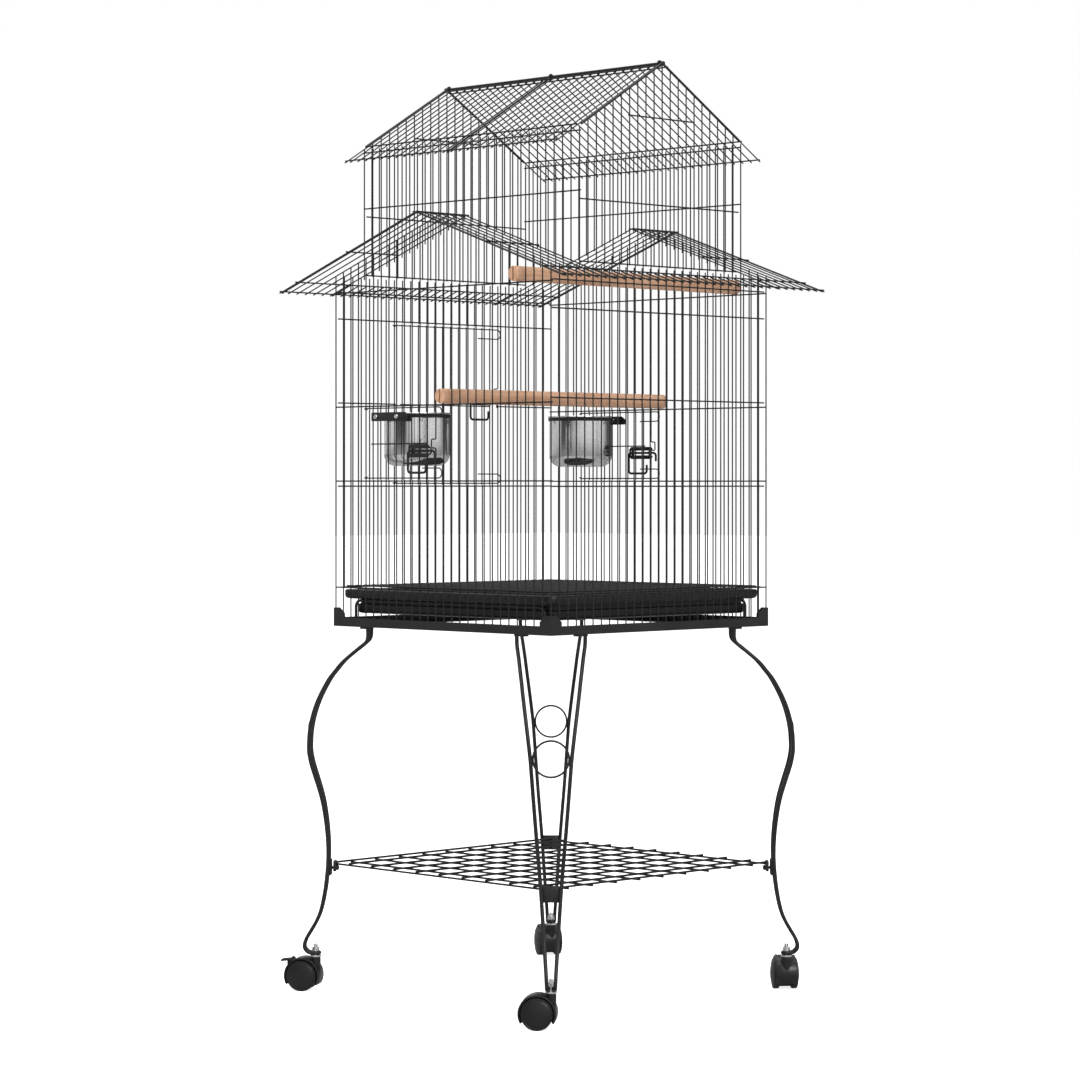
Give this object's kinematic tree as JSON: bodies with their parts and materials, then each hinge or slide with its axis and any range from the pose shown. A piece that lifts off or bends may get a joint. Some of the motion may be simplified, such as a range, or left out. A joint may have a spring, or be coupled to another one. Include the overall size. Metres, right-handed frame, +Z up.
{
  "type": "bird cage on stand",
  "caption": "Welded wire bird cage with a two-tier gabled roof, swing feeder doors, perches and slide-out tray, on a rolling stand with curved rod legs and a mesh shelf",
  "frame": {"origin": "on the floor, under the centre of the square cage", "axes": "+Z up; the main door faces -Y; the two feeder doors face +X and -X; the upper ridge runs along Y and the lower ridge along X"},
  "size_m": [0.5358, 0.5566, 1.2664],
  "materials": {
    "black_enamel": "satin black enamel on steel wire and sheet",
    "zinc_fixings": "bright zinc plate",
    "cup_steel": "polished stainless steel",
    "perch_wood": "smooth turned hardwood",
    "tray_plastic": "moulded black plastic",
    "caster_steel": "bright plated steel",
    "caster_plastic": "moulded black nylon",
    "wheel_plastic": "moulded black nylon, smooth tread"
  },
  "bodies": {
    "cage": {"stand_ring": "black_enamel", "leg_front_left": "black_enamel", "leg_front_right": "black_enamel", "leg_back_left": "black_enamel", "leg_back_right": "black_enamel", "shelf": "black_enamel", "frame_bolts": "zinc_fixings", "wall_front": "black_enamel", "wall_back": "black_enamel", "wall_left": "black_enamel", "wall_right": "black_enamel", "tower_front": "black_enamel", "tower_back": "black_enamel", "tower_left": "black_enamel", "tower_right": "black_enamel", "lower_roof_front": "black_enamel", "lower_roof_back": "black_enamel", "upper_roof": "black_enamel", "perch_low": "perch_wood", "perch_high": "perch_wood", "floor_grille": "black_enamel", "caster_stem_front_left": "caster_steel", "caster_stem_front_right": "caster_steel", "caster_stem_back_left": "caster_steel", "caster_stem_back_right": "caster_steel"},
    "roof_flap": {"roof_flap": "black_enamel"},
    "main_door": {"main_door": "black_enamel", "main_latch_plate": "black_enamel"},
    "main_latch": {"main_latch_rod": "black_enamel"},
    "feeder_right": {"feeder_door_right": "black_enamel", "feeder_latch_plate_right": "black_enamel", "cup_holder_right": "black_enamel", "holder_screws_right": "zinc_fixings"},
    "feeder_latch_right": {"feeder_latch_rod_right": "black_enamel"},
    "cup_right": {"cup_right": "cup_steel"},
    "feeder_left": {"feeder_door_left": "black_enamel", "feeder_latch_plate_left": "black_enamel", "cup_holder_left": "black_enamel", "holder_screws_left": "zinc_fixings"},
    "feeder_latch_left": {"feeder_latch_rod_left": "black_enamel"},
    "cup_left": {"cup_left": "cup_steel"},
    "tray": {"tray": "tray_plastic"},
    "caster_front_left": {"caster_hood_front_left": "caster_plastic", "caster_axle_front_left": "caster_steel"},
    "wheel_a_front_left": {"caster_wheel_a_front_left": "wheel_plastic"},
    "wheel_b_front_left": {"caster_wheel_b_front_left": "wheel_plastic"},
    "caster_front_right": {"caster_hood_front_right": "caster_plastic", "caster_axle_front_right": "caster_steel"},
    "wheel_a_front_right": {"caster_wheel_a_front_right": "wheel_plastic"},
    "wheel_b_front_right": {"caster_wheel_b_front_right": "wheel_plastic"},
    "brake_front_right": {"brake_lever_front_right": "caster_plastic"},
    "caster_back_left": {"caster_hood_back_left": "caster_plastic", "caster_axle_back_left": "caster_steel"},
    "wheel_a_back_left": {"caster_wheel_a_back_left": "wheel_plastic"},
    "wheel_b_back_left": {"caster_wheel_b_back_left": "wheel_plastic"},
    "brake_back_left": {"brake_lever_back_left": "caster_plastic"},
    "caster_back_right": {"caster_hood_back_right": "caster_plastic", "caster_axle_back_right": "caster_steel"},
    "wheel_a_back_right": {"caster_wheel_a_back_right": "wheel_plastic"},
    "wheel_b_back_right": {"caster_wheel_b_back_right": "wheel_plastic"}
  },
  "joints": [
    {"name": "roof_flap_hinge", "type": "hinge", "parent": "cage", "child": "roof_flap", "pos_m": [0, 0, 1.261], "axis": [0, -1, 0], "range_deg": [0, 110]},
    {"name": "main_door_hinge", "type": "hinge", "parent": "cage", "child": "main_door", "pos_m": [0.10111, -0.21, 0.811], "axis": [0, 0, 1], "range_deg": [0, 120]},
    {"name": "main_latch_slide", "type": "slide", "parent": "main_door", "child": "main_latch", "axis": [1, 0, 0], "range_m": [0, 0.006]},
    {"name": "feeder_door_right_hinge", "type": "hinge", "parent": "cage", "child": "feeder_right", "pos_m": [0.21, -0.14778, 0.755], "axis": [0, 0, -1], "range_deg": [0, 110]},
    {"name": "feeder_latch_right_slide", "type": "slide", "parent": "feeder_right", "child": "feeder_latch_right", "axis": [0, -1, 0], "range_m": [0, 0.006]},
    {"name": "cup_right_lift", "type": "slide", "parent": "feeder_right", "child": "cup_right", "axis": [0, 0, 1], "range_m": [0, 0.03]},
    {"name": "feeder_door_left_hinge", "type": "hinge", "parent": "cage", "child": "feeder_left", "pos_m": [-0.21, -0.14778, 0.755], "axis": [0, 0, 1], "range_deg": [0, 110]},
    {"name": "feeder_latch_left_slide", "type": "slide", "parent": "feeder_left", "child": "feeder_latch_left", "axis": [0, -1, 0], "range_m": [0, 0.006]},
    {"name": "cup_left_lift", "type": "slide", "parent": "feeder_left", "child": "cup_left", "axis": [0, 0, 1], "range_m": [0, 0.03]},
    {"name": "tray_slide", "type": "slide", "parent": "cage", "child": "tray", "axis": [0, -1, 0], "range_m": [0, 0.4]},
    {"name": "caster_front_left_swivel", "type": "hinge", "parent": "cage", "child": "caster_front_left", "pos_m": [-0.22981, -0.22981, 0.045], "axis": [0, 0, 1], "continuous": true},
    {"name": "wheel_a_front_left_spin", "type": "hinge", "parent": "caster_front_left", "child": "wheel_a_front_left", "pos_m": [-0.23856, -0.24438, 0.021], "axis": [-0.8572, 0.515, 0], "continuous": true},
    {"name": "wheel_b_front_left_spin", "type": "hinge", "parent": "caster_front_left", "child": "wheel_b_front_left", "pos_m": [-0.23856, -0.24438, 0.021], "axis": [-0.8572, 0.515, 0], "continuous": true},
    {"name": "caster_front_right_swivel", "type": "hinge", "parent": "cage", "child": "caster_front_right", "pos_m": [0.22981, -0.22981, 0.045], "axis": [0, 0, 1], "continuous": true},
    {"name": "wheel_a_front_right_spin", "type": "hinge", "parent": "caster_front_right", "child": "wheel_a_front_right", "pos_m": [0.23932, -0.2439, 0.021], "axis": [-0.829, -0.5592, 0], "continuous": true},
    {"name": "wheel_b_front_right_spin", "type": "hinge", "parent": "caster_front_right", "child": "wheel_b_front_right", "pos_m": [0.23932, -0.2439, 0.021], "axis": [-0.829, -0.5592, 0], "continuous": true},
    {"name": "brake_front_right_press", "type": "hinge", "parent": "caster_front_right", "child": "brake_front_right", "pos_m": [0.2491, -0.25841, 0.0415], "axis": [-0.829, -0.5592, 0], "range_deg": [-15, 0]},
    {"name": "caster_back_left_swivel", "type": "hinge", "parent": "cage", "child": "caster_back_left", "pos_m": [-0.22981, 0.22981, 0.045], "axis": [0, 0, 1], "continuous": true},
    {"name": "wheel_a_back_left_spin", "type": "hinge", "parent": "caster_back_left", "child": "wheel_a_back_left", "pos_m": [-0.24096, 0.21698, 0.021], "axis": [-0.7547, 0.6561, 0], "continuous": true},
    {"name": "wheel_b_back_left_spin", "type": "hinge", "parent": "caster_back_left", "child": "wheel_b_back_left", "pos_m": [-0.24096, 0.21698, 0.021], "axis": [-0.7547, 0.6561, 0], "continuous": true},
    {"name": "brake_back_left_press", "type": "hinge", "parent": "caster_back_left", "child": "brake_back_left", "pos_m": [-0.25244, 0.20377, 0.0415], "axis": [-0.7547, 0.6561, 0], "range_deg": [-15, 0]},
    {"name": "caster_back_right_swivel", "type": "hinge", "parent": "cage", "child": "caster_back_right", "pos_m": [0.22981, 0.22981, 0.045], "axis": [0, 0, 1], "continuous": true},
    {"name": "wheel_a_back_right_spin", "type": "hinge", "parent": "caster_back_right", "child": "wheel_a_back_right", "pos_m": [0.24051, 0.2166, 0.021], "axis": [-0.7771, -0.6293, 0], "continuous": true},
    {"name": "wheel_b_back_right_spin", "type": "hinge", "parent": "caster_back_right", "child": "wheel_b_back_right", "pos_m": [0.24051, 0.2166, 0.021], "axis": [-0.7771, -0.6293, 0], "continuous": true}
  ]
}
